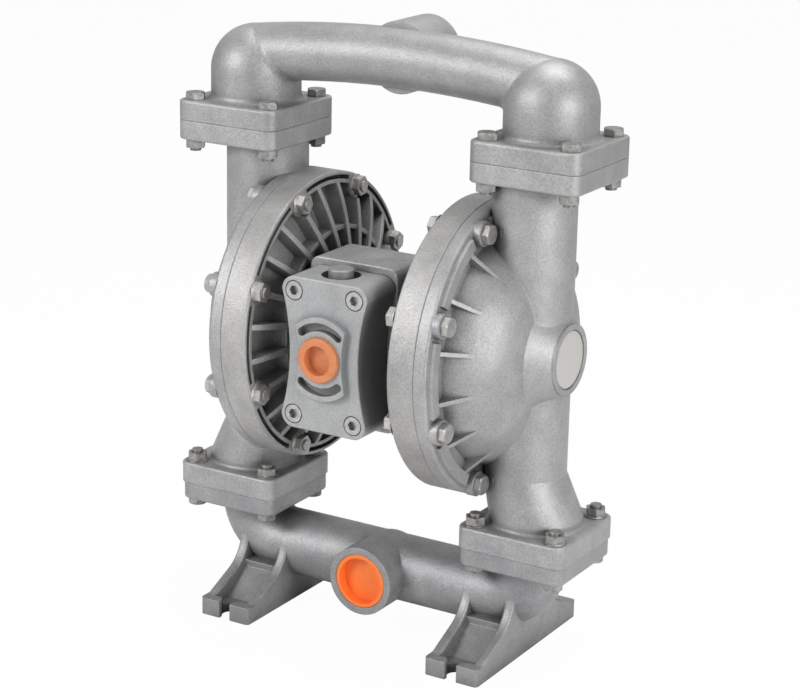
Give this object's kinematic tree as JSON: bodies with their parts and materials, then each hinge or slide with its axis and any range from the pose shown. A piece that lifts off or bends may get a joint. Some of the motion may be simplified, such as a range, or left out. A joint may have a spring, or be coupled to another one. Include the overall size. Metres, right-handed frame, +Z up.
{
  "type": "air operated double diaphragm pump",
  "caption": "Air operated double diaphragm pump in cast aluminium with ribbed air chambers, ball check valves, footed suction manifold and orange transport caps",
  "frame": {"origin": "on the floor, midway between the four foot bolts", "axes": "+X along the diaphragm shaft to the right chamber, +Y to the discharge side at the back, -Y to the suction port and the air valve at the front, +Z up"},
  "size_m": [0.401, 0.2604, 0.5493],
  "materials": {
    "aluminium": "matte",
    "aluminium_light": "matte",
    "valve_paint": "matte",
    "zinc_steel": "satin",
    "bright_steel": "satin",
    "ground_steel": "gloss",
    "machined_aluminium": "satin",
    "bushing_brass": "satin",
    "black_rubber": "matte",
    "white_polymer": "satin",
    "orange_plastic": "satin",
    "pale_disc": "satin"
  },
  "bodies": {
    "pump_body": {"discharge_manifold": "aluminium", "suction_manifold": "aluminium", "fluid_chamber_left": "aluminium", "fluid_chamber_right": "aluminium", "air_chamber_left": "aluminium_light", "air_chamber_right": "aluminium_light", "center_block": "aluminium_light", "air_valve_body": "valve_paint", "chamber_bolts_left": "zinc_steel", "chamber_bolts_right": "zinc_steel", "chamber_nuts_left": "zinc_steel", "chamber_nuts_right": "zinc_steel", "discharge_flange_bolts": "zinc_steel", "discharge_flange_nuts": "zinc_steel", "suction_flange_bolts": "zinc_steel", "suction_flange_nuts": "zinc_steel", "valve_screws": "bright_steel", "block_screws_left": "bright_steel", "block_screws_right": "bright_steel", "plug_retaining_rings": "bright_steel", "spool_plug_top": "machined_aluminium", "spool_plug_bottom": "machined_aluminium", "shaft_bushings": "bushing_brass", "pilot_bushings": "bushing_brass", "spool_sleeve": "bushing_brass", "diaphragm_left": "black_rubber", "diaphragm_right": "black_rubber", "shaft_seals": "black_rubber", "block_gasket_left": "black_rubber", "block_gasket_right": "black_rubber", "valve_gasket": "black_rubber", "suction_seat_left": "white_polymer", "suction_seat_right": "white_polymer", "discharge_seat_left": "white_polymer", "discharge_seat_right": "white_polymer", "seat_seals": "white_polymer", "badge_disc_left": "pale_disc", "badge_disc_right": "pale_disc"},
    "shaft_assembly": {"diaphragm_shaft": "ground_steel", "inner_plate_left": "machined_aluminium", "inner_plate_right": "machined_aluminium", "outer_plate_left": "machined_aluminium", "outer_plate_right": "machined_aluminium"},
    "pilot": {"pilot_rod": "ground_steel"},
    "spool": {"valve_spool": "ground_steel"},
    "suction_ball_left_body": {"suction_ball_left": "white_polymer"},
    "suction_ball_right_body": {"suction_ball_right": "white_polymer"},
    "discharge_ball_left_body": {"discharge_ball_left": "white_polymer"},
    "discharge_ball_right_body": {"discharge_ball_right": "white_polymer"},
    "suction_cap": {"suction_port_cap": "orange_plastic"},
    "inlet_cap": {"air_inlet_cap": "orange_plastic"}
  },
  "joints": [
    {"name": "shaft_stroke", "type": "slide", "parent": "pump_body", "child": "shaft_assembly", "axis": [1, 0, 0], "range_m": [-0.016, 0.016], "deforming": ["diaphragm_left", "diaphragm_right"]},
    {"name": "pilot_shift", "type": "slide", "parent": "pump_body", "child": "pilot", "axis": [1, 0, 0], "range_m": [-0.0025, 0.0025]},
    {"name": "spool_shift", "type": "slide", "parent": "pump_body", "child": "spool", "axis": [0, 0, 1], "range_m": [0, 0.012]},
    {"name": "suction_ball_left_lift", "type": "slide", "parent": "pump_body", "child": "suction_ball_left_body", "axis": [0, 0, 1], "range_m": [0, 0.014]},
    {"name": "suction_ball_right_lift", "type": "slide", "parent": "pump_body", "child": "suction_ball_right_body", "axis": [0, 0, 1], "range_m": [0, 0.014]},
    {"name": "discharge_ball_left_lift", "type": "slide", "parent": "pump_body", "child": "discharge_ball_left_body", "axis": [0, 0, 1], "range_m": [0, 0.014]},
    {"name": "discharge_ball_right_lift", "type": "slide", "parent": "pump_body", "child": "discharge_ball_right_body", "axis": [0, 0, 1], "range_m": [0, 0.014]},
    {"name": "suction_cap_pull", "type": "slide", "parent": "pump_body", "child": "suction_cap", "axis": [0, -1, 0], "range_m": [0, 0.12]},
    {"name": "air_inlet_cap_pull", "type": "slide", "parent": "pump_body", "child": "inlet_cap", "axis": [0, -1, 0], "range_m": [0, 0.1]}
  ]
}
